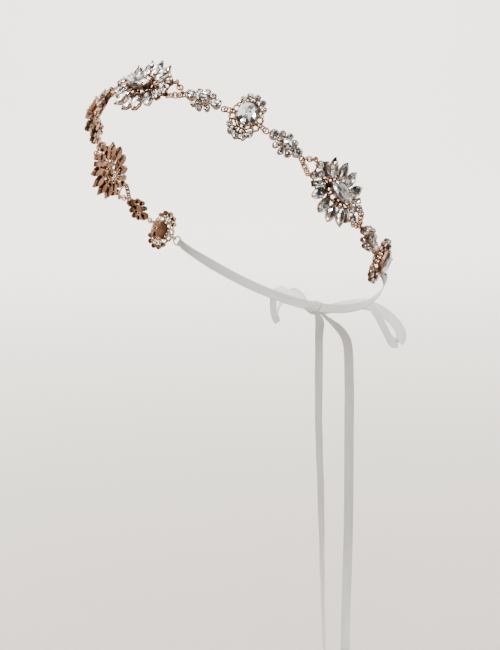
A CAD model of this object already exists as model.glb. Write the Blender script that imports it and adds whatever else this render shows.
"""Rhinestone headband: thirteen linked ornaments of foil-backed crystal in rose gold, tied with ribbon.

Everything is worked out in millimetres, in each ornament's own frame or in the headband's, and put in
place in metres at the end. The front faces -Y, the wearer's left is +X.
"""
import math
import random
from bisect import bisect_left
from collections import namedtuple

import bmesh
import bpy
from mathutils import Matrix, Vector, noise


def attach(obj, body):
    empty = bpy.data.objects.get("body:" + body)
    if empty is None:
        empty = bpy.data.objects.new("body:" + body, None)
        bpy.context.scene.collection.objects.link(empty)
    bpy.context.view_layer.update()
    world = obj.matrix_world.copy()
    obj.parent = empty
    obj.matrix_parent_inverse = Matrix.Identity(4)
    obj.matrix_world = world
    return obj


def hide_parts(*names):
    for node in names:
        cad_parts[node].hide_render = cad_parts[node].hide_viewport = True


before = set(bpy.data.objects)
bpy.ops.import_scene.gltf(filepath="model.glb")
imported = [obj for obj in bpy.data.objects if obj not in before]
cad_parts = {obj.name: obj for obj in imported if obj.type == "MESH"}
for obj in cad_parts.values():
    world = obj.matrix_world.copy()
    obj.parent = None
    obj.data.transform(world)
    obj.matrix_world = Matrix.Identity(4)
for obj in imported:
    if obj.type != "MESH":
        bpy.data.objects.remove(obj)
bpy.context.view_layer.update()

MM = 0.001
TO_METRES = Matrix.Scale(MM, 4)
SIDES = ((1, "left"), (-1, "right"))

# The band, as in the part's source: kind of ornament and lift off the flat oval, from the front to one end
OVAL_HALF_W = 84.5
OVAL_HALF_L = 97.5
SLOPED = Matrix.Rotation(math.radians(-45.5), 4, "X")
HALF_BAND = (
    ("large", 1.2), ("small", 0.9), ("medium", 2.4), ("small", 0.8),
    ("large", -1.1), ("small", -2.7), ("medium", -1.7),
)
LAST = len(HALF_BAND) - 1
# From an ornament's middle to its end loops, and from one ornament's end loops to the next one's
REACH = {"large": 19.2, "small": 11.2, "medium": 7.4}
ROOM_LARGE = 5.1
ROOM_MEDIUM = 3.5

# Kinds of stone: size in plan, height of the cup's rim, crown above it, pavilion below, way of cutting
Stone = namedtuple("Stone", "length width rim crown pavilion facets")
STONES = {
    "petal": Stone(10.4, 5, 2.8, 1.0, 1.2, "brilliant"),
    "baguette": Stone(7, 2.4, 2.7, 0.6, 0.9, "step"),
    "cluster": Stone(3.6, 3.6, 2.7, 0.7, 1.1, "brilliant"),
    "navette": Stone(16.4, 7.6, 6.2, 1.3, 2.4, "brilliant"),
    "octagon": Stone(9.2, 12.4, 5.8, 1.2, 2.2, "cushion"),
    "halo": Stone(2.7, 2.7, 2.5, 0.6, 0.9, "brilliant"),
    "oval": Stone(7.6, 5.6, 4.2, 1.0, 1.8, "brilliant"),
    "end_round": Stone(5, 5, 3.2, 0.9, 1.5, "brilliant"),
    "side_round": Stone(2.8, 2.8, 2.6, 0.6, 1.0, "brilliant"),
}
GIRDLE = 0.3
SNUG = 0.1

# Their cups: height of the foot, its share of the rim's width, how far the rim stands out round the
# stone, width of the rim, and sides of the outline where it is round or pointed
Cup = namedtuple("Cup", "foot taper proud edge sides")
CUP_FOOT = 0.3
ROUND_CUP = Cup(CUP_FOOT, 0.72, 0.34, 0.154, [20])
CUPS = {
    "petal": Cup(CUP_FOOT, 0.66, 0.36, 0.154, []),
    "baguette": Cup(CUP_FOOT, 0.86, 0.3, 0.154, []),
    "cluster": ROUND_CUP,
    "navette": Cup(2.2, 0.7, 0.38, 0.224, [12]),
    "octagon": Cup(2.8, 0.8, 0.38, 0.224, []),
    "halo": ROUND_CUP,
    "oval": Cup(CUP_FOOT, 0.72, 0.38, 0.196, [20]),
    "end_round": ROUND_CUP,
    "side_round": ROUND_CUP,
}
# A cup's side, in shares of its height and width: where it bends, how wide it is there against the foot,
# and the height from there to the full width
WAIST = 0.4
WAIST_FLARE = 1.18
SHOULDER = 0.46


def round_claws(d, claw_d):
    """The row of CLAWS for a round stone of the diameter d."""
    place = (d / 2 + 0.2) * math.sqrt(0.5)
    return [(place, place, 0.32, claw_d, 1.2)]


# Claws: place in one quarter of the stone, lean over it, thickness, and length below the rim
CLAWS = {
    "petal": [(5.3, 0, 0.6, 0.55, 1.6), (1.6, 2.5, 0.3, 0.4, 1.2)],
    "baguette": [(3.35, 1.25, 0.25, 0.42, 1.2)],
    "cluster": round_claws(3.6, 0.46),
    "navette": [(8.35, 0, 0.9, 0.8, 2.4), (4, 3.0, 0.5, 0.62, 2.6)],
    "octagon": [(4.35, 5.0, 0.7, 0.66, 3.0)],
    "halo": round_claws(2.7, 0.4),
    "oval": [(2.6, 2.35, 0.5, 0.56, 2.2)],
    "end_round": round_claws(5, 0.5),
    "side_round": round_claws(2.8, 0.4),
}

# Wires, and the height of their middles over the back
FRAME_WIRE = 0.9
LOOP_WIRE = 0.84
CHAIN_WIRE = 0.88
WIRE_Z = 0.6
# End loops, and where the chains hook in: height at a large ornament, half their distance at a small one
LOOP_R = 1.15
SMALL_LOOP_R = 1.5
LOOP_SIDE = 4.5
HOOK_Z = 0.85
HOOK_SIDE = 0.5
# A chain's middle ring, the play of a ring on the next wire, and how far the rings turn, in degrees
CHAIN_MIDDLE_R = 1.5
PLAY = 0.05
END_SWING = 16
MIDDLE_SWING = 24
# The last link and the flat ring for the ribbon
END_LINK = 3.4
END_RING_R = 2.8
RING_FAR = REACH["medium"] + END_LINK - 1.1 + 2 * END_RING_R

# Where the stones sit in an ornament: x, y and turn in degrees
MIDDLE = ((0, 0, 0),)
PETALS = tuple(
    spot for sx in (-1, 1) for sy in (-1, 1)
    for spot in ((3.0 * sx, 10.7 * sy, 90 - 7 * sx * sy), (8.9 * sx, 8.0 * sy, 90 - 28 * sx * sy))
)
BAGUETTES = tuple((12 * sx, 4.6 * sy, 90 - 45 * sx * sy) for sx in (-1, 1) for sy in (-1, 1))
CLUSTER_NEAR = 13.2
CLUSTER_FAR = 16.4
CLUSTER_SIDE = 3.3
CLUSTER = tuple(
    spot for s in (-1, 1)
    for spot in (
        (CLUSTER_NEAR * s, 0, 0), (CLUSTER_FAR * s, CLUSTER_SIDE, 0), (CLUSTER_FAR * s, -CLUSTER_SIDE, 0))
)
HALO_CENTRE = 6.2
HALO_R = 5.6
HALO_STEP = math.radians(38)


def halo_point(i, side, r):
    """The x and y of a point i steps round one of the two arcs of small rounds of a medium ornament."""
    return r * math.sin(HALO_STEP * i), side * (HALO_CENTRE + r * math.cos(HALO_STEP * i))


HALO = tuple((*halo_point(i, s, HALO_R), 0) for s in (-1, 1) for i in range(-2, 3))
END_ROUNDS = ((-6.9, 0, 0), (6.9, 0, 0))
SIDE_ROUNDS = tuple((3.7 * x, s * (4.8 - 1.2 * abs(x)), 0) for s in (-1, 1) for x in (-1, 0, 1))


# Where the ornaments are

OVAL_STEP = math.radians(0.5)


def oval_point(t, out=0.0):
    """A point of the flat oval, or out from it, at the angle t from the front."""
    return Vector(((OVAL_HALF_W + out) * math.sin(t), -(OVAL_HALF_L + out) * math.cos(t), 0))


OVAL_LENGTHS = [0.0]
for step in range(360):
    stride = oval_point((step + 1) * OVAL_STEP) - oval_point(step * OVAL_STEP)
    OVAL_LENGTHS.append(OVAL_LENGTHS[-1] + stride.length)


def oval_angle(length):
    """The angle on the oval at a length counted from the front."""
    i = max(1, bisect_left(OVAL_LENGTHS, length))
    share = (length - OVAL_LENGTHS[i - 1]) / (OVAL_LENGTHS[i] - OVAL_LENGTHS[i - 1])
    return (i - 1 + share) * OVAL_STEP


STATIONS = [0.0]
for (nearer, _), (further, _) in zip(HALF_BAND, HALF_BAND[1:]):
    room = ROOM_MEDIUM if "medium" in (nearer, further) else ROOM_LARGE
    STATIONS.append(STATIONS[-1] + REACH[further] + REACH[nearer] + room)


def rise(n):
    """How steeply the band climbs off the oval at ornament n, counted from the front."""
    if n == 0:
        return 0.0
    before, after = n - 1, min(n + 1, LAST)
    return (HALF_BAND[after][1] - HALF_BAND[before][1]) / (STATIONS[after] - STATIONS[before])


def ornament_frame(k):
    """The frame of ornament k, counted from the wearer's right: along the band, across it and out."""
    n = abs(k - LAST)
    side = -1 if k < LAST else 1
    t = side * oval_angle(STATIONS[n])
    place = oval_point(t)
    place.z = HALF_BAND[n][1]
    along = Vector((OVAL_HALF_W * math.cos(t), OVAL_HALF_L * math.sin(t), 0)).normalized()
    along.z = side * rise(n)
    along.normalize()
    out = Vector((math.sin(t) / OVAL_HALF_W, -math.cos(t) / OVAL_HALF_L, 0)).normalized()
    turned = Matrix((along, out.cross(along), out)).transposed().to_4x4()
    return SLOPED @ Matrix.Translation(place) @ turned


def kind_of(k):
    return HALF_BAND[abs(k - LAST)][0]


# Camera

def aim_camera():
    right = Vector((0.75927, 0.65035, -0.02356))
    up = Vector((-0.1584, 0.2198, 0.9626))
    ahead = Vector((-0.6312, 0.72714, -0.26991))
    place = Vector((0.38179, -0.43236, 0.09451))
    camera = bpy.data.objects.new("camera", bpy.data.cameras.new("camera"))
    camera.data.sensor_width = 36
    camera.data.lens = 57.06
    camera.data.clip_start = 0.02
    camera.data.clip_end = 60
    turn = Matrix((right, up, -ahead)).transposed().to_4x4()
    camera.matrix_world = Matrix.Translation(place) @ turn
    bpy.context.scene.collection.objects.link(camera)
    bpy.context.scene.camera = camera


aim_camera()


# Shading

class Field:
    """A shader socket that takes Python's operators: each one adds a Math node."""

    def __init__(self, finish, socket):
        self.finish = finish
        self.socket = socket

    def math(self, operation, other):
        return self.finish.math(operation, self, other)

    def __add__(self, other):
        return self.math("ADD", other)

    def __sub__(self, other):
        return self.math("SUBTRACT", other)

    def __rsub__(self, other):
        return self.finish.math("SUBTRACT", other, self)

    def __mul__(self, other):
        return self.math("MULTIPLY", other)

    def __truediv__(self, other):
        return self.math("DIVIDE", other)

    def __rtruediv__(self, other):
        return self.finish.math("DIVIDE", other, self)

    def __gt__(self, other):
        return self.math("GREATER_THAN", other)

    __radd__ = __add__
    __rmul__ = __mul__


class Finish:
    """A material's nodes: add() makes any node, and the rest are short ways to the usual ones."""

    def __init__(self, name, colour, roughness, metallic=0.0, **constants):
        self.material = bpy.data.materials.new(name)
        self.material.use_nodes = True
        self.tree = self.material.node_tree
        self.surface = self.tree.nodes["Principled BSDF"]
        self.set("Base Color", (*colour, 1.0))
        self.set("Roughness", roughness)
        self.set("Metallic", metallic)
        for socket, value in constants.items():
            self.set(socket.replace("_", " ").title(), value)

    def plug(self, socket, value):
        if isinstance(value, Field):
            self.tree.links.new(value.socket, socket)
        else:
            socket.default_value = value

    def set(self, name, value):
        self.plug(self.surface.inputs[name], value)

    def add(self, kind, settings=None, inputs=None, output=0):
        """Adds a node of the kind, with its settings first and then its sockets, and gives an output."""
        node = self.tree.nodes.new("ShaderNode" + kind)
        for key, value in (settings or {}).items():
            setattr(node, key, value)
        for key, value in (inputs or {}).items():
            self.plug(node.inputs[key], value)
        return Field(self, node.outputs[output])

    def math(self, operation, *values):
        return self.add("Math", {"operation": operation}, dict(enumerate(values)))

    def place(self, output="Object"):
        return self.add("TexCoord", output=output)

    def attribute(self, name):
        return self.add("Attribute", {"attribute_name": name}, output="Fac")

    def split(self, vector):
        node = self.add("SeparateXYZ", inputs={0: vector}).socket.node
        return [Field(self, node.outputs[i]) for i in range(3)]

    def join(self, x, y, z=0.0):
        return self.add("CombineXYZ", inputs={0: x, 1: y, 2: z})

    def noise(self, vector, scale, detail):
        return self.add("TexNoise", inputs={"Vector": vector, "Scale": scale, "Detail": detail})

    def chance(self, vector):
        """A random number from 0 to 1, the same all over a cell with one vector."""
        return self.add("TexWhiteNoise", inputs={"Vector": vector})

    def smooth(self, value, low, high, to_low=0.0, to_high=1.0):
        settings = {"interpolation_type": "SMOOTHSTEP"}
        return self.add("MapRange", settings, {0: value, 1: low, 2: high, 3: to_low, 4: to_high})

    def mix(self, share, first, second):
        inputs = {0: share}
        for index, colour in ((6, first), (7, second)):
            inputs[index] = colour if isinstance(colour, Field) else (*colour, 1.0)
        return self.add("Mix", {"data_type": "RGBA"}, inputs, output=2)

    def bump(self, height, distance, strength):
        inputs = {"Height": height, "Distance": distance, "Strength": strength}
        self.set("Normal", self.add("Bump", inputs=inputs))


ROSE = (0.20, 0.098, 0.054)
ROSE_PALE = (0.50, 0.285, 0.175)
ROSE_DEEP = (0.036, 0.015, 0.008)


def plated_metal(name, recessed):
    """Rose gold plate over a casting: soft mottling, brighter where it is rubbed, brown in the recesses."""
    made = Finish(name, ROSE, 0.2, 1.0)
    place = made.place()
    mottle = made.noise(place, 900.0, 3.0)
    cloud = made.noise(place, 160.0, 2.0)
    rubbed = made.smooth(cloud * 0.6 + mottle * 0.4, 0.38, 0.66)
    colour = made.mix(rubbed, ROSE, ROSE_PALE)
    if recessed:
        tarnish = made.smooth(made.attribute("recess") + (mottle - 0.5) * 0.5, 0.12, 0.72)
        colour = made.mix(tarnish, colour, ROSE_DEEP)
        made.set("Roughness", 0.16 + tarnish * 0.2 + mottle * 0.1)
    else:
        made.set("Roughness", 0.14 + mottle * 0.16)
    made.set("Base Color", colour)
    made.bump(mottle + cloud * 0.5, 0.00005, 0.5)
    return made.material


# The foil behind a crystal: its tones, and its wedges inside and outside a break between them
FOIL_DARK = (0.010, 0.010, 0.011)
FOIL_GREY = (0.19, 0.19, 0.178)
FOIL_BRIGHT = (1.0, 1.0, 0.98)
FOIL_WARM = (0.30, 0.16, 0.10)
FOIL_COOL = (0.10, 0.14, 0.27)
FOIL_RIM = (0.05, 0.036, 0.03)
WEDGES = 6.0
OUTER_WEDGES = 2 * WEDGES
TABLE_EDGE = 0.3
WEDGE_BREAK = 0.62
# Shifts that keep the random draws of different cells apart
OUTER_CELLS = 40.0
TINT_CELLS = 91.0


def cut_crystal():
    """Foil-backed crystal: the foil's facets show through the crown as wedges of light and dark."""
    made = Finish("foil_backed_crystal", (0.9, 0.92, 0.94), 0.08, 1.0, coat_weight=1.0, coat_roughness=0.02)
    across, up, _ = made.split(made.place("UV"))
    reach = made.math("SQRT", across * across + up * up)
    angle = made.math("ARCTAN2", up, across) / (2 * math.pi) + 0.5
    inner = angle * WEDGES
    outer = angle * OUTER_WEDGES + 0.5
    is_outer = reach > WEDGE_BREAK
    ring = (reach > TABLE_EDGE) + is_outer
    outer_cell = made.math("FLOOR", outer) + OUTER_CELLS
    cell = made.math("FLOOR", inner) * (1 - is_outer) + outer_cell * is_outer
    stone = made.attribute("stone")
    light = made.chance(made.join(cell, ring, stone))
    tint = made.chance(made.join(cell + TINT_CELLS, ring, stone))
    glow = light * 0.5 + made.attribute("flash") * 0.5
    colour = made.mix(made.smooth(glow, 0.28, 0.44), FOIL_DARK, FOIL_GREY)
    colour = made.mix(made.smooth(glow, 0.56, 0.7), colour, FOIL_BRIGHT)
    colour = made.mix(made.smooth(tint, 0.84, 0.9) * 0.6, colour, FOIL_WARM)
    colour = made.mix(made.smooth(tint, 0.1, 0.05) * 0.5, colour, FOIL_COOL)
    colour = made.mix(made.smooth(reach, 0.78, 1.05) * 0.75, colour, FOIL_RIM)
    made.set("Base Color", colour)

    def cone(turn, wedges):
        return reach * made.math("COSINE", (made.math("FRACT", turn) - 0.5) * (2 * math.pi / wedges))

    outer_height = cone(outer, OUTER_WEDGES) * 1.6 - 0.4
    made.bump(cone(inner, WEDGES) * (1 - is_outer) + outer_height * is_outer, 0.0008, 0.8)
    return made.material


CLOSE_SATIN = ((0.13, 0.127, 0.12), (0.42, 0.413, 0.397))
LOOSE_SATIN = ((0.36, 0.352, 0.338), (0.84, 0.83, 0.805))
# Lengths along a hanging end, in metres, between which the satin loosens
LOOSENS_FROM = 0.14
LOOSENS_TO = 0.25


def satin(name, lift):
    """White satin ribbon: fine threads along it, a slightly tighter woven edge, a soft uneven sheen.

    A lift of 0 is the close-woven ribbon, 1 the loosened, lighter one; the hanging ends loosen downwards.
    """
    made = Finish(name, (0.6, 0.6, 0.59), 0.42, sheen_weight=0.2, sheen_roughness=0.4)
    across, along, _ = made.split(made.place("UV"))
    threads = made.math("SINE", across * 260.0)
    picks = made.math("SINE", along * 9000.0)
    streak = made.noise(made.join(across * 26.0, along * 60.0), 1.0, 3.0)
    cloud = made.noise(made.join(across * 2.0, along * 70.0), 1.0, 2.0)
    slow = made.noise(made.join(across * 0.8, along * 24.0), 1.0, 1.0)
    off_middle = made.math("ABSOLUTE", across - 0.5)
    edge = made.smooth(off_middle, 0.42, 0.47)
    groove = made.smooth(off_middle, 0.36, 0.41) * (1 - edge)
    shade = 0.8 + streak * 0.2 + threads * 0.03 + edge * 0.1 - groove * 0.1
    shade = shade + (cloud - 0.5) * 0.3 + (slow - 0.5) * 0.5
    loosened = made.smooth(along, LOOSENS_FROM, LOOSENS_TO, lift, lift + 0.45)
    made.set("Base Color", made.mix(loosened, made.mix(shade, *CLOSE_SATIN), made.mix(shade, *LOOSE_SATIN)))
    made.set("Roughness", 0.34 + streak * 0.16 + edge * 0.12)
    made.bump(threads * 0.35 + picks * 0.15 + streak * 1.2 + edge * 2.0, 0.00006, 0.6)
    return made.material


METAL = plated_metal("rose_gold_setting", True)
WIRE = plated_metal("rose_gold_wire", False)
CRYSTAL = cut_crystal()
SATIN = satin("white_satin", 0.0)
BOW_SATIN = satin("white_satin_bow", 0.65)


# Making meshes

def mesh_object(name, bm, material, smooth_angle=None):
    """A finished mesh as an object at the origin, with edges sharper than smooth_angle kept sharp."""
    mesh = bpy.data.meshes.new(name)
    bm.to_mesh(mesh)
    bm.free()
    mesh.materials.append(material)
    if smooth_angle:
        for polygon in mesh.polygons:
            polygon.use_smooth = True
        mesh.set_sharp_from_angle(angle=math.radians(smooth_angle))
    obj = bpy.data.objects.new(name, mesh)
    bpy.context.scene.collection.objects.link(obj)
    return obj


def stand_for(obj, node):
    """Says which node of the part a piece replaces, and whose finish it takes."""
    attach(obj, "root")
    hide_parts(node)


def spot_matrix(spot):
    return Matrix.Translation((spot[0], spot[1], 0)) @ Matrix.Rotation(math.radians(spot[2]), 4, "Z")


def pointing(start, direction):
    """A matrix at start with its Z along direction."""
    return Matrix.Translation(start) @ direction.to_track_quat("Z", "Y").to_matrix().to_4x4()


def moved(bm, matrix, before):
    """Moves every vertex that isn't in the set before."""
    bmesh.ops.transform(bm, matrix=matrix, verts=[v for v in bm.verts if v not in before])


def quarters(x, y):
    """A point and its mirror images about both axes."""
    return [(x * sx, y * sy) for sy in ((1, -1) if y else (1,)) for sx in (1, -1)]


def oval_outline(length, width, grow, sides=16):
    turns = [2 * math.pi * i / sides for i in range(sides)]
    return [((length / 2 + grow) * math.cos(t), (width / 2 + grow) * math.sin(t)) for t in turns]


def rectangle_outline(length, width, grow):
    a, b = length / 2 + grow, width / 2 + grow
    return [(a, b), (-a, b), (-a, -b), (a, -b)]


def octagon_outline(length, width, grow=0.0):
    a, b, c = length / 2 + grow, width / 2 + grow, 2.4 + 0.4 * grow
    half = [(a, b - c), (a - c, b), (c - a, b), (-a, b - c)]
    return half + [(-x, -y) for x, y in half]


def navette_outline(length, width, grow, sides=8):
    """Two arcs that meet in two points, at +X and -X."""
    r = (length * length + width * width) / (4 * width)
    d = r - width / 2
    half = math.acos(d / (r + grow))
    points = []
    for s in (1, -1):
        for i in range(sides):
            a = half * (1 - 2 * i / sides)
            points.append((s * (r + grow) * math.sin(a), s * ((r + grow) * math.cos(a) - d)))
    return points


OUTLINES = {
    "petal": navette_outline, "navette": navette_outline, "baguette": rectangle_outline,
    "octagon": octagon_outline,
}


def outline_of(kind, grow, sides=()):
    """A stone's outline, larger by grow on all sides."""
    return OUTLINES.get(kind, oval_outline)(STONES[kind].length, STONES[kind].width, grow, *sides)


def extruded(bm, face):
    """Extrudes a face without moving it, and gives the new one."""
    made = bmesh.ops.extrude_face_region(bm, geom=[face])["geom"]
    return next(g for g in made if isinstance(g, bmesh.types.BMFace))


def pull(bm, face, z, scale):
    """Extrudes a face to the height z, scaled about the frame's middle, and gives the new face."""
    top = extruded(bm, face)
    for v in top.verts:
        v.co = Vector((v.co.x * scale, v.co.y * scale, z))
    return top


def wire(bm, start, end, d=FRAME_WIRE, d_end=None):
    start, end = Vector(start), Vector(end)
    middle = pointing((start + end) / 2, end - start)
    bmesh.ops.create_cone(
        bm, cap_ends=True, segments=10, radius1=d / 2, radius2=(d_end or d) / 2,
        depth=(end - start).length, matrix=middle)


def bead(bm, place, d, flat=1.0, fine=2):
    shape = Matrix.Translation(place) @ Matrix.Diagonal((1, 1, flat, 1))
    bmesh.ops.create_icosphere(bm, subdivisions=fine, radius=d / 2, matrix=shape)


def bent_wire(bm, points, d, d_end):
    """A round wire through a few points, made by extruding a circle from one to the next."""
    points = [Vector(p) for p in points]
    last = len(points) - 1
    start = pointing(points[0], points[1] - points[0])
    circle = bmesh.ops.create_circle(bm, cap_ends=True, segments=8, radius=d / 2, matrix=start)
    face = circle["verts"][0].link_faces[0]
    thick = [d + (d_end - d) * i / last for i in range(last + 1)]
    for i in range(1, last + 1):
        goal = pointing(points[i], points[min(i + 1, last)] - points[i - 1])
        face = extruded(bm, face)
        grow = thick[i] / thick[i - 1]
        shape = goal @ Matrix.Diagonal((grow, grow, 1, 1)) @ start.inverted()
        bmesh.ops.transform(bm, matrix=shape, verts=face.verts)
        start = goal


def curve_points(controls, steps=6):
    """Points on a smooth curve through the controls."""
    controls = [Vector(c) for c in controls]
    points = []
    for i in range(len(controls) - 1):
        a, b = controls[max(i - 1, 0)], controls[i]
        c, d = controls[i + 1], controls[min(i + 2, len(controls) - 1)]
        for j in range(steps):
            u = j / steps
            points.append(0.5 * (
                2 * b + (c - a) * u + (2 * a - 5 * b + 4 * c - d) * u * u + (3 * b - a - 3 * c + d) * u ** 3))
    return points + [controls[-1]]


def turned_full(bm, geom, steps):
    """Turns a profile once round the Z axis."""
    bmesh.ops.spin(
        bm, geom=geom, axis=(0, 0, 1), cent=(0, 0, 0), angle=2 * math.pi, steps=steps, use_merge=True)


def hoop(bm, centre, r, d, turns=20, squash_y=1.0):
    """A closed ring of wire lying flat."""
    before = set(bm.verts)
    shape = Matrix.Translation((r, 0, 0)) @ Matrix.Rotation(math.pi / 2, 4, "X")
    circle = bmesh.ops.create_circle(bm, segments=8, radius=d / 2, matrix=shape)["verts"]
    turned_full(bm, circle + list({e for v in circle for e in v.link_edges}), turns)
    moved(bm, Matrix.Translation(centre) @ Matrix.Diagonal((1, squash_y, 1, 1)), before)


# Floor and studio light

FLOOR_Z = -0.42
FLOOR_R = 2.2
BEND_R = 1.2
WALL_TOP = 3.0
PAPER_PALE = (0.94, 0.90, 0.85)
PAPER_NEAR = ((0.47, 0.438, 0.408), (0.50, 0.468, 0.438))
PAPER_DEEP = (0.42, 0.4, 0.38)
# The way the camera looks over the floor
VIEW_X = -0.655
VIEW_Y = 0.755

# Lamps: name, place, size, power in watts, tint, and what one points at that isn't the headband
LAMPS = [
    ("wall_wash", (-1.0, 1.1, 2.6), (1.4, 1.4), 235, (1.0, 0.97, 0.925), (-2.4, 2.7, 0.3)),
    ("key", (-0.6, -1.0, 1.5), (1.2, 1.0), 54, (1.0, 0.97, 0.94)),
    ("side", (1.7, -0.4, 0.9), (0.6, 1.0), 11, (0.95, 0.97, 1.0)),
    ("back", (-0.9, 1.5, 1.3), (0.9, 0.5), 16, (1.0, 1.0, 1.0)),
    ("fill", (1.1, -0.5, -0.1), (0.5, 0.3), 5, (1.0, 0.97, 0.93)),
    ("overhead_card", (0.75, -0.3, 1.9), (1.3, 1.3), 8, (1.0, 0.99, 0.97)),
    ("left_card", (-1.45, -0.2, 1.4), (0.9, 0.9), 4, (1.0, 0.99, 0.97)),
]
GLINTS = (
    (0.9, -1.6, 0.5), (0.2, -0.9, 1.9), (1.3, -0.2, 1.5),
    (0.7, -1.0, 1.2), (-0.3, -1.5, 0.7), (1.4, 0.6, 0.8),
)
LAMPS += [(f"glint_{i}", place, (0.14, 0.14), 6, (1.0, 1.0, 1.0)) for i, place in enumerate(GLINTS)]


def area_light(name, place, size, power, tint, target=(0, 0, -0.02)):
    lamp = bpy.data.lights.new(name, "AREA")
    lamp.shape = "RECTANGLE"
    lamp.size, lamp.size_y = size
    lamp.energy = power
    lamp.color = tint
    obj = bpy.data.objects.new(name, lamp)
    obj.location = place
    obj.rotation_euler = (Vector(target) - Vector(place)).to_track_quat("-Z", "Y").to_euler()
    obj.visible_camera = False
    bpy.context.scene.collection.objects.link(obj)


def pale_paper():
    """Backdrop paper: palest far off where the camera looks, deeper near by and behind the camera."""
    made = Finish("pale_paper", (0.86, 0.85, 0.83), 0.9)
    place = made.place()
    across, along, up = made.split(place)
    radius = made.math("SQRT", across * across + along * along)
    facing = (along * VIEW_Y + across * VIEW_X) / radius
    turned_away = (1 - made.smooth(facing, 0.3, 0.75)) * made.smooth(radius, 0.5, 1.6)
    near = made.mix(made.noise(place, 3.0, 2.0), *PAPER_NEAR)
    pale = made.mix(made.smooth(radius + up, -0.4, 1.9), near, PAPER_PALE)
    made.set("Base Color", made.mix(turned_away, pale, PAPER_DEEP))
    return made.material


def build_stage():
    """A pale floor that turns up into a wall far away on all sides, and the lamps over it."""
    bm = bmesh.new()
    profile = [(0.0, 0.0), (FLOOR_R, 0.0)]
    for turn in (math.radians(a) for a in range(10, 91, 10)):
        profile.append((FLOOR_R + BEND_R * math.sin(turn), BEND_R - BEND_R * math.cos(turn)))
    profile.append((FLOOR_R + BEND_R, WALL_TOP))
    verts = [bm.verts.new((x, 0, z + FLOOR_Z)) for x, z in profile]
    edges = [bm.edges.new(pair) for pair in zip(verts, verts[1:])]
    turned_full(bm, verts + edges, 64)
    bmesh.ops.remove_doubles(bm, verts=bm.verts, dist=0.0001)
    mesh_object("floor", bm, pale_paper(), 60)
    world = bpy.data.worlds.new("studio")
    world.use_nodes = True
    sky = world.node_tree.nodes["Background"].inputs
    sky["Color"].default_value = (0.92, 0.95, 1.0, 1)
    sky["Strength"].default_value = 0.3
    bpy.context.scene.world = world
    for lamp in LAMPS:
        area_light(*lamp)


# Cups and claws

CUP_TARNISH = 0.42
# A cup's upright edge and the seat inside it: depths, and widths against what is above or below
RIM_EDGE = 0.35
RIM_NARROWS = 0.985
SEAT_DEPTH = 0.5
SEAT_NARROWS = 0.97
# A claw's tip over the rim, as a share of the crown, and its bend below the tip
CLAW_TIP = 0.6
CLAW_BEND = 0.25


def cup(bm, kind, spot):
    """A tapered cup with a thin rim round its stone."""
    before = set(bm.verts)
    rim = STONES[kind].rim
    foot, taper, proud, edge, sides = CUPS[kind]
    outline = outline_of(kind, proud, sides)
    face = bm.faces.new([bm.verts.new((x * taper, y * taper, foot)) for x, y in outline])
    face = pull(bm, face, foot + WAIST * (rim - foot), WAIST_FLARE)
    face = pull(bm, face, rim - RIM_EDGE, 1 / (WAIST_FLARE * taper))
    face = pull(bm, face, rim, RIM_NARROWS)
    bmesh.ops.inset_region(bm, faces=[face], thickness=edge, use_even_offset=True)
    pull(bm, face, rim - SEAT_DEPTH, SEAT_NARROWS)
    tarnish = bm.verts.layers.float["cup_tarnish"]
    for v in bm.verts:
        if v not in before:
            v[tarnish] = CUP_TARNISH
    moved(bm, spot_matrix(spot), before)


def cup_width(kind, z):
    """The share of the rim's width that a cup has at the height z."""
    foot, taper = CUPS[kind][:2]
    waist = WAIST_FLARE * taper
    share = max(0.0, (z - foot) / (STONES[kind].rim - foot))
    if share < WAIST:
        return taper + (waist - taper) * share / WAIST
    return min(1.0, waist + (1 - waist) * (share - WAIST) / SHOULDER)


def claw(bm, kind, spot, x, y, lean, d, drop):
    """A claw: a wire up the wall of its cup that leans over the stone and ends in a rounded tip."""
    stone = STONES[kind]
    tip_z = stone.rim + stone.crown * CLAW_TIP
    narrow = cup_width(kind, stone.rim - drop)
    away = Vector((x, y, 0))
    inward = away - away.normalized() * lean
    matrix = spot_matrix(spot)
    foot = matrix @ Vector((x * narrow, y * narrow, stone.rim - drop))
    knee = matrix @ Vector((x, y, tip_z - CLAW_BEND))
    tip = matrix @ Vector((inward.x, inward.y, tip_z))
    wire(bm, foot, knee, d * 1.1, d)
    wire(bm, knee, tip, d, d * 0.8)
    bead(bm, knee, d * 1.02, fine=1)
    bead(bm, tip, d * 1.05, 0.8)


def clawed_cups(bm, kind, spots, turn=0):
    """Cups of a kind with their claws, at the spots, turned further by turn."""
    for x, y, spot_turn in spots:
        spot = (x, y, spot_turn + turn)
        cup(bm, kind, spot)
        for claw_x, claw_y, lean, d, drop in CLAWS[kind]:
            for place in quarters(claw_x, claw_y):
                claw(bm, kind, spot, *place, lean, d, drop)


# Settings

# Wires and beads in one quarter of a large setting: ends and thicknesses; place and diameter
LARGE_WIRES = (
    ((1.6, 2.2, 1.0), (3.2, 6.2, 1.0), 1.3, 1.0),
    ((3.2, 2.4, 1.0), (7.4, 5.0, 1.0), 1.3, 1.0),
    ((6.2, 0.9, 1.0), (10.6, 3.4, 1.0), 1.2, 0.9),
    ((8.9, 8, WIRE_Z), (CLUSTER_FAR, CLUSTER_SIDE, WIRE_Z), 0.86, 0.86),
    ((5, 4.9, WIRE_Z), (5, 4.9, 3.2), 0.7, 0.7),
)
LARGE_BEADS = (
    ((2.9, 4.7, 2.4), 1.5, 2), ((7.6, 2.9, 2.2), 1.6, 2), ((5, 4.9, 3.2), 1.5, 3), ((0.3, 5.1, 2.9), 1.1, 2),
)
BALL_X = 9.6


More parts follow.
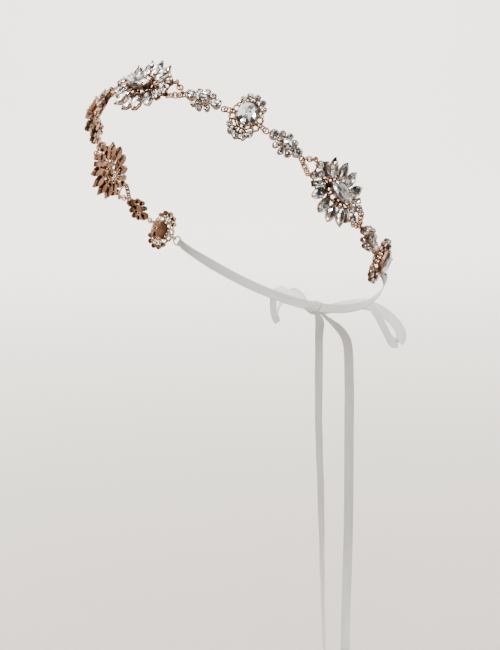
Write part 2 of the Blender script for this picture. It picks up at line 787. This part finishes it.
def large_setting(bm):
    clawed_cups(bm, "petal", PETALS)
    clawed_cups(bm, "baguette", BAGUETTES)
    clawed_cups(bm, "cluster", CLUSTER, 45)
    clawed_cups(bm, "navette", MIDDLE)
    wire(bm, (0, 0, CUP_FOOT), (0, 0, 2.6), 3.4, 4.6)
    hoop(bm, (0, 0, 1.0), 6.0, 1.3, 32, 0.78)
    wire(bm, (-13.5, 0, WIRE_Z), (13.5, 0, WIRE_Z), 1.0)
    for s in (-1, 1):
        wire(bm, (-9, 7.6 * s, 0.65), (9, 7.6 * s, 0.65), 0.8)
        wire(bm, (-3 * s, -9, 0.57), (-3 * s, 9, 0.57))
        far, near = CLUSTER_FAR * s, CLUSTER_NEAR * s
        wire(bm, (far, -CLUSTER_SIDE, 0.62), (far, CLUSTER_SIDE, 0.62), 0.8)
        wire(bm, (near, 0, 0.58), (far, 0, 0.58))
        bead(bm, (near, 0, 1.3), 2.6, 0.7)
        wire(bm, (5 * s, -4.9, WIRE_Z), (5 * s, 4.9, WIRE_Z), 0.7)
        wire(bm, (BALL_X * s, 0, 0.5), (BALL_X * s, 0, 3.4), 1.1)
        bead(bm, (BALL_X * s, 0, 3.7), 2.4, fine=3)
    for sx, sy in quarters(1, 1):
        mirror = Matrix.Diagonal((sx, sy, 1))
        for start, end, d, d_end in LARGE_WIRES:
            wire(bm, mirror @ Vector(start), mirror @ Vector(end), d, d_end)
        for place, d, fine in LARGE_BEADS:
            bead(bm, mirror @ Vector(place), d, fine=fine)
        hoop(bm, (REACH["large"] * sx, LOOP_SIDE * sy, WIRE_Z), LOOP_R, LOOP_WIRE)


# In one quarter of a medium setting: the balls round the octagon's cup, and the curl beside it
OCTAGON_BALLS = ((4.4, 1.2), (4.4, 3.6), (1.4, 6.0))
CURL = ((5.7, 6.4, 1.1), (6.9, 4.6, 1.5), (7.3, 2.6, 1.4), (7.9, 0.9, 0.9))
CURL_HOOP = (6.3, 2.4, 0.63)
RAIL_WIRE = 0.8


def medium_setting(bm):
    clawed_cups(bm, "octagon", MIDDLE)
    clawed_cups(bm, "halo", HALO)
    for ball in OCTAGON_BALLS:
        for x, y in quarters(*ball):
            bead(bm, (x, y, 1.9), 2.2, fine=3)
    for s in (-1, 1):
        for i in range(-2, 3):
            foot = Vector((1.9 * math.sin(HALO_STEP * i), s * (HALO_CENTRE + math.cos(HALO_STEP * i)), 0.9))
            wire(bm, foot, (*halo_point(i, s, 4.6), 0.9), 0.9, 0.7)
        for i in (-1.5, -0.5, 0.5, 1.5):
            bead(bm, (*halo_point(i, s, 3.2), 1.5), 1.5)
        turns = [math.radians(a) for a in range(0, 181, 12)]
        arc = [(HALO_R * math.cos(t), s * (HALO_CENTRE + HALO_R * math.sin(t)), WIRE_Z) for t in turns]
        bent_wire(bm, arc, FRAME_WIRE, FRAME_WIRE)
        wire(bm, (0, s * 5.8, 0.57), (0, s * (HALO_CENTRE + HALO_R), 0.57), 0.8)
        wire(bm, (4.4 * s, 0, 0.58), (6.5 * s, 0, 0.58), 0.88)
        hoop(bm, (REACH["medium"] * s, 0, WIRE_Z), LOOP_R, LOOP_WIRE)
    for sx, sy in quarters(1, 1):
        mirror = Matrix.Diagonal((sx, sy, 1))
        wire(bm, (HALO_R * sx, 3.2 * sy, WIRE_Z), (HALO_R * sx, HALO_CENTRE * sy, WIRE_Z))
        hoop(bm, mirror @ Vector(CURL_HOOP), 1.6, 0.92, 24)
        bent_wire(bm, curve_points([mirror @ Vector(place) for place in CURL]), 0.78, 0.6)
    rail = [(x, y, 0.65) for x, y in octagon_outline(8.8, 12.0)]
    for a, b in zip(rail, rail[1:] + rail[:1]):
        wire(bm, a, b, RAIL_WIRE)
        bead(bm, a, RAIL_WIRE + 0.02, fine=1)


def small_setting(bm):
    clawed_cups(bm, "oval", MIDDLE)
    clawed_cups(bm, "end_round", END_ROUNDS)
    clawed_cups(bm, "side_round", SIDE_ROUNDS)
    for x, y, _ in SIDE_ROUNDS:
        wire(bm, (x * 0.3, y * 0.3, WIRE_Z), (x, y, WIRE_Z), 0.86)
    wire(bm, (-7, 0, WIRE_Z), (7, 0, WIRE_Z))
    for s in (-1, 1):
        hoop(bm, (REACH["small"] * s, 0, WIRE_Z), SMALL_LOOP_R, LOOP_WIRE, 24)


# Tarnish: the height at which a setting is bright, and the place along it where its end loops start
BRIGHT_Z = {"large": 3.4, "medium": 3.2, "small": 2.8}
END_FROM = {"large": 17.6, "medium": 5.3, "small": 9.7}
BACK_TARNISH = 0.1
END_TARNISH = 0.22


def mark_recess(bm, kind):
    """How deep each face lies: 0 at the top, 1 down between the cups; the smooth back stays clean."""
    recess = bm.faces.layers.float["recess"]
    tarnish = bm.verts.layers.float["cup_tarnish"]
    for face in bm.faces:
        middle = face.calc_center_median()
        depth = min(1.0, 1.15 - middle.z / BRIGHT_Z[kind])
        if abs(middle.x) > END_FROM[kind]:
            depth = END_TARNISH
        cup_share = sum(v[tarnish] for v in face.verts) / len(face.verts)
        face[recess] = BACK_TARNISH if face.normal.z < -0.5 else max(cup_share, depth)


MAKERS = {"large": large_setting, "medium": medium_setting, "small": small_setting}


def setting_mesh(kind):
    """A setting in its own frame, in millimetres, as a pattern for all ornaments of its kind."""
    bm = bmesh.new()
    bm.verts.layers.float.new("cup_tarnish")
    bm.faces.layers.float.new("recess")
    MAKERS[kind](bm)
    bmesh.ops.recalc_face_normals(bm, faces=bm.faces)
    mark_recess(bm, kind)
    mesh = bpy.data.meshes.new("pattern_" + kind)
    bm.to_mesh(mesh)
    bm.free()
    return mesh


# Cut stones

def ring_of(outline, scale, z):
    return [Vector((x * scale, y * scale, z)) for x, y in outline]


def side_middles(outline):
    return [((x + nx) / 2, (y + ny) / 2) for (x, y), (nx, ny) in zip(outline, outline[1:] + outline[:1])]


def stone_corners(kind, outline):
    """A stone's corners: its small foot, its girdle, and the breaks of its crown, table and pavilion."""
    _, _, top, crown, pavilion, facets = STONES[kind]
    low = top - GIRDLE
    points = ring_of(outline, 0.1, low - pavilion) + ring_of(outline, 1, low) + ring_of(outline, 1, top)
    if facets == "brilliant":
        points += ring_of(outline[1::2], 0.83, top + 0.56 * crown)
        points += ring_of(outline[::2], 0.56, top + crown)
        points += ring_of(outline[::2], 0.6, low - 0.6 * pavilion)
    elif facets == "cushion":
        points += ring_of(side_middles(outline), 0.84, top + 0.6 * crown)
        points += ring_of(outline, 0.5, top + crown)
        points += ring_of(outline, 0.6, low - 0.6 * pavilion)
    else:
        points += ring_of(outline, 0.82, top + 0.6 * crown)
        points += ring_of(outline, 0.56, top + crown)
    return points


def cut_stone(bm, layers, kind, spot, number, rng, pale):
    """One stone as the hull of its corners, with UVs of its plan and a flash for each facet."""
    outline = outline_of(kind, SNUG)
    verts = [bm.verts.new(p) for p in stone_corners(kind, outline)]
    hull = bmesh.ops.convex_hull(bm, input=verts, use_existing_faces=False)
    spare = {v for v in hull["geom_interior"] + hull["geom_unused"] if isinstance(v, bmesh.types.BMVert)}
    bmesh.ops.delete(bm, geom=list(spare), context="VERTS")
    faces = [g for g in hull["geom"] if isinstance(g, bmesh.types.BMFace)]
    kept = list({v for f in faces for v in f.verts})
    edges = list({e for f in faces for e in f.edges})
    bmesh.ops.dissolve_limit(bm, angle_limit=math.radians(2), verts=kept, edges=edges)
    kept = [v for v in kept if v.is_valid]
    faces = list({f for v in kept for f in v.link_faces})
    faces.sort(key=lambda f: tuple(round(c, 4) for c in f.calc_center_median()))
    uv, flash, stone = layers
    half_x, half_y = max(x for x, _ in outline), max(y for _, y in outline)
    for face in faces:
        face[flash] = pale + (1 - pale) * rng.random()
        face[stone] = float(number)
        for loop in face.loops:
            loop[uv].uv = (loop.vert.co.x / half_x, loop.vert.co.y / half_y)
    bmesh.ops.transform(bm, matrix=spot_matrix(spot), verts=kept)


MAIN_STONES = {"large": "navette", "medium": "octagon", "small": "oval"}
ACCENTS = {
    "large": (("petal", PETALS), ("baguette", BAGUETTES), ("cluster", CLUSTER)),
    "medium": (("halo", HALO),),
    "small": (("end_round", END_ROUNDS), ("side_round", SIDE_ROUNDS)),
}
# The least flash of a main stone's facets on the ornaments round the front, which catch the most light
PALE = {"large": 0.3, "medium": 0.62, "small": 0.0}
FRONT_NUMBERS = range(5, 12)
MAIN_SEED = 50
MOST_STONES = 40


def stones_mesh(groups, seed, pale=0.0):
    """Stones of an ornament in its own frame, in millimetres, with facets no darker than pale."""
    bm = bmesh.new()
    faces = bm.faces.layers.float
    layers = (bm.loops.layers.uv.verify(), faces.new("flash"), faces.new("stone"))
    rng = random.Random(seed)
    number = seed * MOST_STONES
    for kind, spots in groups:
        for spot in spots:
            cut_stone(bm, layers, kind, spot, number, rng, pale)
            number += 1
    return bm


def placed(bm, k):
    bmesh.ops.transform(bm, matrix=TO_METRES @ ornament_frame(k), verts=bm.verts)
    return bm


def build_ornaments():
    patterns = {kind: setting_mesh(kind) for kind in REACH}
    for k in range(2 * LAST + 1):
        kind = kind_of(k)
        number = k + 1
        bm = bmesh.new()
        bm.from_mesh(patterns[kind])
        metal = mesh_object(f"rose_gold_setting_{number}", placed(bm, k), METAL, 38)
        stand_for(metal, f"setting_{number}")
        pale = PALE[kind] if number in FRONT_NUMBERS else 0.0
        main = placed(stones_mesh([(MAIN_STONES[kind], MIDDLE)], MAIN_SEED + number, pale), k)
        stand_for(mesh_object(f"main_stone_{number}", main, CRYSTAL), f"stone_{number}")
        small = placed(stones_mesh(ACCENTS[kind], number), k)
        stand_for(mesh_object(f"accent_stones_{number}", small, CRYSTAL), f"accents_{number}")
    for mesh in patterns.values():
        bpy.data.meshes.remove(mesh)


# Links

def jump_ring(bm, middle, along, out, r, d, twist=0.0):
    """A ring whose plane holds the direction along, and the outward one when the twist is 0."""
    before = set(bm.verts)
    hoop(bm, (0, 0, 0), r, d, 24)
    away = (out - along * along.dot(out)).normalized()
    turned = Matrix((along, away.cross(along), away)).transposed().to_4x4()
    upright = Matrix.Rotation(math.radians(90 + twist), 4, "X")
    moved(bm, Matrix.Translation(middle) @ turned @ upright, before)


def ring_chain(bm, start, end, out, rng):
    """Three small rings, each through the next, from one hole's middle to another's."""
    along = (end - start).normalized()
    end_r = ((end - start).length + 2 * (CHAIN_WIRE + PLAY) - 2 * CHAIN_MIDDLE_R) / 4
    for place, r, twist in (
        (start + along * end_r, end_r, rng.uniform(-END_SWING, END_SWING)),
        ((start + end) / 2, CHAIN_MIDDLE_R, 90 + rng.uniform(-MIDDLE_SWING, MIDDLE_SWING)),
        (end - along * end_r, end_r, rng.uniform(-END_SWING, END_SWING)),
    ):
        jump_ring(bm, place, along, out, r, CHAIN_WIRE, twist)


def links_mesh(k):
    """The links between ornament k and the next one towards the wearer's left."""
    here, there = ornament_frame(k), ornament_frame(k + 1)
    kinds = kind_of(k), kind_of(k + 1)
    out = here.col[2].xyz + there.col[2].xyz
    bm = bmesh.new()
    rng = random.Random(k)
    if "medium" in kinds:
        start = here @ Vector((REACH[kinds[0]], 0, WIRE_Z))
        end = there @ Vector((-REACH[kinds[1]], 0, WIRE_Z))
        span = end - start
        jump_ring(bm, (start + end) / 2, span.normalized(), out, span.length / 2, LOOP_WIRE)
        return bm
    for s in (-1, 1):
        wide, narrow = Vector((0, s * LOOP_SIDE, HOOK_Z)), Vector((0, s * HOOK_SIDE, WIRE_Z))
        ends = (wide, narrow) if kinds[0] == "large" else (narrow, wide)
        start = here @ (ends[0] + Vector((REACH[kinds[0]], 0, 0)))
        end = there @ (ends[1] - Vector((REACH[kinds[1]], 0, 0)))
        ring_chain(bm, start, end, out, rng)
    return bm


def end_frame(side):
    return ornament_frame(2 * LAST if side > 0 else 0)


def end_rings_mesh(side):
    """The last link and the flat ring that the ribbon goes through."""
    bm = bmesh.new()
    matrix = end_frame(side)
    middle = matrix @ Vector((side * (REACH["medium"] + END_LINK / 2), 0, WIRE_Z))
    jump_ring(bm, middle, matrix.col[0].xyz, matrix.col[2].xyz, END_LINK / 2, LOOP_WIRE)
    before = set(bm.verts)
    hoop(bm, (side * (RING_FAR - END_RING_R), 0, WIRE_Z), END_RING_R, LOOP_WIRE, 32)
    moved(bm, matrix, before)
    return bm


def build_links():
    rings = [(links_mesh(k), f"rose_gold_links_{k + 1}", f"links_{k + 1}") for k in range(2 * LAST)]
    rings += [(end_rings_mesh(side), "rose_gold_rings_" + name, "end_rings_" + name) for side, name in SIDES]
    for bm, name, node in rings:
        bmesh.ops.transform(bm, matrix=TO_METRES, verts=bm.verts)
        stand_for(mesh_object(name, bm, WIRE, 60), node)


# Ribbon

RIBBON_W = 6.35
RIBBON_T = 0.3
ACROSS = 10
# Ripples a millimetre along the ribbon, and the pleats across it where it is drawn narrower
RIPPLES = 0.05
GATHERS = 7.5
GATHER_DEPTH = 0.9
# Routes of the soft ends, as in the part's source: x, y, z, turn and tilt of the width, and the width
# where the ribbon is gathered
LOOP_ROUTE = (
    (4.9, 71, -72.2, 90, 45, 4.4), (6.5, 71, -72.1, 90, 45, 4.8), (10, 71.3, -71, 90, 45, 5.6),
    (15, 71.8, -69, 90, 44), (22, 72.6, -66.8, 92, 40), (29, 73.8, -65, 94, 34), (34, 75, -64.2, 96, 26),
    (37.6, 76.5, -66, 98, 20), (40.4, 78.4, -70.5, 98, 18), (42.4, 80.2, -75.2, 96, 18),
    (44, 82, -79.8, 93, 18), (45.2, 83.8, -84.2, 90, 18), (46, 85.8, -88, 84, 20),
    (47, 88.2, -90.8, 72, 24), (48.4, 90.8, -91.4, 62, 28), (49.4, 93, -89.6, 56, 30),
    (49.2, 94, -86, 52, 32), (47.2, 93.8, -82, 52, 34), (43.6, 92.8, -77.8, 53, 36),
    (38.8, 91, -73.6, 56, 40), (33.5, 88.5, -70.5, 64, 44), (27, 84.5, -68.6, 76, 48),
    (19, 79.2, -68.8, 84, 48), (12, 74.9, -71.2, 90, 45, 5.8), (7.5, 72.6, -72.9, 90, 45, 5),
    (4.9, 72.2, -73.4, 90, 45, 4.4),
)
TAIL_LEFT_ROUTE = (
    (2.1, 72.8, -74, 0, 0, 3.6), (2.7, 76, -77, 0, 0, 4.2), (4.2, 80, -80.6, 5, 0, 5.4), (7, 84, -85.2, 8, 0),
    (10.4, 86.8, -91, 12, 0), (12.8, 88, -98, 15, 0), (13.8, 88.4, -110, 15, 0), (14.2, 88.2, -130, 17, 0),
    (14.4, 87.8, -155, 20, 0), (14.4, 87.6, -180, 23, 0), (14.1, 88, -204, 27, 0), (13.6, 88.2, -230, 30, 0),
    (12.9, 88.2, -255, 33, 0), (12.2, 88, -280, 36, 0), (11.6, 87.8, -305, 39, 0), (11.2, 87.8, -323, 40, 0),
)
TAIL_RIGHT_ROUTE = (
    (-2.1, 72.8, -74, 0, 0, 3.6), (-2.6, 76, -77, 0, 0, 4.2), (-4, 80, -80.6, 0, 0, 5.4),
    (-6.3, 84, -85.2, 0, 0), (-8.6, 86.8, -91, 0, 0), (-9.8, 88, -98, 0, 0), (-10.3, 88.3, -110, 0, 0),
    (-10.4, 88, -131, -1, 0), (-10.4, 87.8, -152, -3, 0), (-10.2, 88, -174, -5, 0),
    (-9.7, 88.3, -195, -8, 0), (-9.1, 88.2, -216, -12, 0), (-8.6, 88, -240, -17, 0),
    (-8.1, 87.8, -262, -22, 0), (-7.6, 87.8, -287, -27, 0), (-7.1, 88, -310, -31, 0),
    (-6.8, 88, -330, -33, 0),
)


def route_rows(route, mirror, steps):
    """Rows of middle, direction of the width, and width, on a smooth curve through a route."""
    places = curve_points([row[:3] for row in route], steps)
    turns = curve_points([(*row[3:5], row[5] if len(row) > 5 else RIBBON_W) for row in route], steps)
    rows = []
    for place, (turn, tilt, width) in zip(places, turns):
        a, b = math.radians(turn), math.radians(tilt)
        across = Vector((math.cos(b) * math.cos(a) * mirror, math.cos(b) * math.sin(a), math.sin(b)))
        rows.append((Vector((place.x * mirror, place.y, place.z)), across, width))
    return rows


def strip_mesh(name, rows, wave, cup_depth, seed, material=SATIN):
    """A ribbon through its rows: a grid laid along them, cupped and waved, then given its thickness."""
    count = len(rows)
    bm = bmesh.new()
    uv = bm.loops.layers.uv.verify()
    bmesh.ops.create_grid(bm, x_segments=ACROSS, y_segments=count - 1, size=0.5)
    lengths = [0.0]
    for before, after in zip(rows, rows[1:]):
        lengths.append(lengths[-1] + (after[0] - before[0]).length)
    spots = {v: (v.co.x + 0.5, round((v.co.y + 0.5) * (count - 1))) for v in bm.verts}
    for face in bm.faces:
        for loop in face.loops:
            share, i = spots[loop.vert]
            loop[uv].uv = (share, lengths[i] * MM)
    for v, (share, i) in spots.items():
        place, across, width = rows[i]
        along = (rows[min(i + 1, count - 1)][0] - rows[max(i - 1, 0)][0]).normalized()
        across = (across - along * across.dot(along)).normalized()
        out = along.cross(across)
        side = 2 * share - 1
        ripple = noise.noise((seed, lengths[i] * RIPPLES, side * 0.3)) * wave
        gather = math.sin(side * GATHERS + seed) * (1 - width / RIBBON_W) * GATHER_DEPTH
        lift = cup_depth * side * side + ripple + gather
        v.co = (place + across * (side * width / 2) + out * lift) * MM
    bmesh.ops.recalc_face_normals(bm, faces=bm.faces)
    obj = mesh_object(name, bm, material, 50)
    thick = obj.modifiers.new("thickness", "SOLIDIFY")
    thick.thickness = RIBBON_T * MM
    thick.offset = 0.0
    return obj


def declare_cord(obj, node, rows):
    """Says that a soft end is a free cord, with its length in metres and the middles that it follows."""
    stand_for(obj, node)
    path = [tuple(row[0] * MM) for row in rows]


def build_cords():
    """The two bow loops and the two hanging ends."""
    for side, name in SIDES:
        rows = route_rows(LOOP_ROUTE, side, 4)
        loop = strip_mesh("satin_bow_loop_" + name, rows, 0.5, 0.25, 3 + side, BOW_SATIN)
        declare_cord(loop, "bow_loop_" + name, rows)
    for route, name, length, seed in (
        (TAIL_LEFT_ROUTE, "left", 0.259, 11), (TAIL_RIGHT_ROUTE, "right", 0.264, 17),
    ):
        rows = route_rows(route, 1, 5)
        end = strip_mesh("satin_tail_" + name, rows, 0.6, 0.3, seed)
        declare_cord(end, "tail_" + name, rows)


# The fold round the end ring, as in the part's source, where wire and ribbon are 0.7 and 1 mm thick
FOLD_R = 0.7 / 2 + 0.2 + 1 / 2
FOLD_W = 3.4
FOLD_MID = RING_FAR - 0.7
# The end under the fold: distance past the ring, height and width
FOLDED_END = ((8, 0.5, 5), (3.5, 0.4, 4.2), (0.6, -0.35, FOLD_W))
KNOT_W = 9.0
RUN_START = STATIONS[LAST] + RING_FAR + 9
RUN_END = OVAL_LENGTHS[-1] - KNOT_W / 2 - 0.2
RUN_W = 5.2
RUN_ROWS = 18


def ribbon_rows(side):
    """The ribbon from under the end ring, round its far side and along the oval to the knot."""
    matrix = end_frame(side)
    across = matrix.to_3x3() @ Vector((0, 1, 0))

    def at(x, z, width):
        return matrix @ Vector((side * x, 0, z)), across, width

    rows = [at(RING_FAR + x, z, w) for x, z, w in FOLDED_END]
    for turn in (math.radians(a) for a in range(0, 181, 20)):
        rows.append(at(FOLD_MID - FOLD_R * math.sin(turn), WIRE_Z - FOLD_R * math.cos(turn), FOLD_W))
    rows += [at(RING_FAR + 0.6, 1.65, FOLD_W), at(RING_FAR + 4, 1.65, 4.4)]
    lift = HALF_BAND[LAST][1] + rise(LAST) * (RUN_START - STATIONS[LAST])
    for i in range(RUN_ROWS + 1):
        share = i / RUN_ROWS
        fade = (1 - share) ** 3
        t = side * oval_angle(RUN_START + (RUN_END - RUN_START) * share)
        place = oval_point(t, WIRE_Z + FOLD_R + 1.5 * fade)
        place.z = lift * fade
        width = RUN_W + (RIBBON_W - RUN_W) * min(1, share * 6)
        rows.append((SLOPED @ place, SLOPED.to_3x3() @ Vector((0, 0, 1)), width))
    places = curve_points([row[0] for row in rows], 3)
    turns = curve_points([row[1] for row in rows], 3)
    widths = curve_points([(row[2], 0, 0) for row in rows], 3)
    return [(p, t, w.x) for p, t, w in zip(places, turns, widths)]


def build_ribbons():
    for side, name in SIDES:
        run = strip_mesh("satin_ribbon_" + name, ribbon_rows(side), 0.15, 0.12, 23 + side)
        stand_for(run, "ribbon_" + name)


# The knot: the gathered bundle's half sizes and its shift outwards, and the wrap's width and radii
KNOT_Y = OVAL_HALF_L + WIRE_Z + FOLD_R + 1.1
BUNDLE = Vector((5.8, 3.45, 3.9))
BUNDLE_OUT = 0.4
PLEATS = 11
WRAP_W = 6.4
WRAP_Y = 3.75
WRAP_Z = 4.35


def boxy(values, power):
    """How far a unit direction is stretched to reach a rounded box instead of a ball."""
    return sum(abs(value) ** power for value in values) ** (-1 / power)


def knot_bundle(bm, uv):
    """The gathered ribbon inside the knot: a rounded block with pleats that run out to both loops."""
    ball = bmesh.ops.create_uvsphere(bm, u_segments=64, v_segments=32, radius=1.0)
    for v in ball["verts"]:
        x, y, z = v.co * boxy(v.co, 4)
        pleat = 0.045 * math.sin(PLEATS * math.atan2(z, y) + 1.2 * x)
        narrow = 0.86 + 0.14 * min(1.0, abs(x) * 1.4) + pleat
        v.co = Vector((x * BUNDLE.x, y * BUNDLE.y * narrow + BUNDLE_OUT, z * BUNDLE.z * narrow))
    for face in {f for v in ball["verts"] for f in v.link_faces}:
        for loop in face.loops:
            co = loop.vert.co
            loop[uv].uv = (co.z / RIBBON_W + 0.5, co.x * MM)


def knot_wrap(bm, uv):
    """One turn of ribbon pulled tight round the bundle, creased along its way, its edges tucked in."""
    grid = bmesh.ops.create_grid(bm, x_segments=20, y_segments=56, size=0.5)
    places = {v: (2 * v.co.x, 2 * math.pi * (v.co.y + 0.5)) for v in grid["verts"]}
    for face in {f for v in grid["verts"] for f in v.link_faces}:
        for loop in face.loops:
            side, turn = places[loop.vert]
            loop[uv].uv = (side / 2 + 0.5, turn * WRAP_Z * MM)
    for v, (side, turn) in places.items():
        reach = boxy((math.cos(turn), math.sin(turn)), 2.8)
        crease = 0.2 * math.sin(6.5 * side + 1.4 * math.sin(turn)) * (1 - side * side)
        tuck = 1.15 * side ** 4 - crease
        v.co = Vector((
            side * WRAP_W / 2 * (0.94 + 0.06 * math.cos(2 * turn)) + 0.3 * math.sin(turn),
            (WRAP_Y - tuck) * reach * math.cos(turn) + BUNDLE_OUT,
            (WRAP_Z - tuck) * reach * math.sin(turn)))
    bmesh.ops.remove_doubles(bm, verts=grid["verts"], dist=0.02)


def build_knot():
    bm = bmesh.new()
    uv = bm.loops.layers.uv.verify()
    knot_bundle(bm, uv)
    knot_wrap(bm, uv)
    matrix = TO_METRES @ SLOPED @ Matrix.Translation((0, KNOT_Y, 0))
    bmesh.ops.transform(bm, matrix=matrix, verts=bm.verts)
    bmesh.ops.recalc_face_normals(bm, faces=bm.faces)
    stand_for(mesh_object("satin_knot", bm, SATIN, 50), "ribbon_knot")


build_cords()
build_stage()
build_ribbons()
build_knot()
build_ornaments()
build_links()
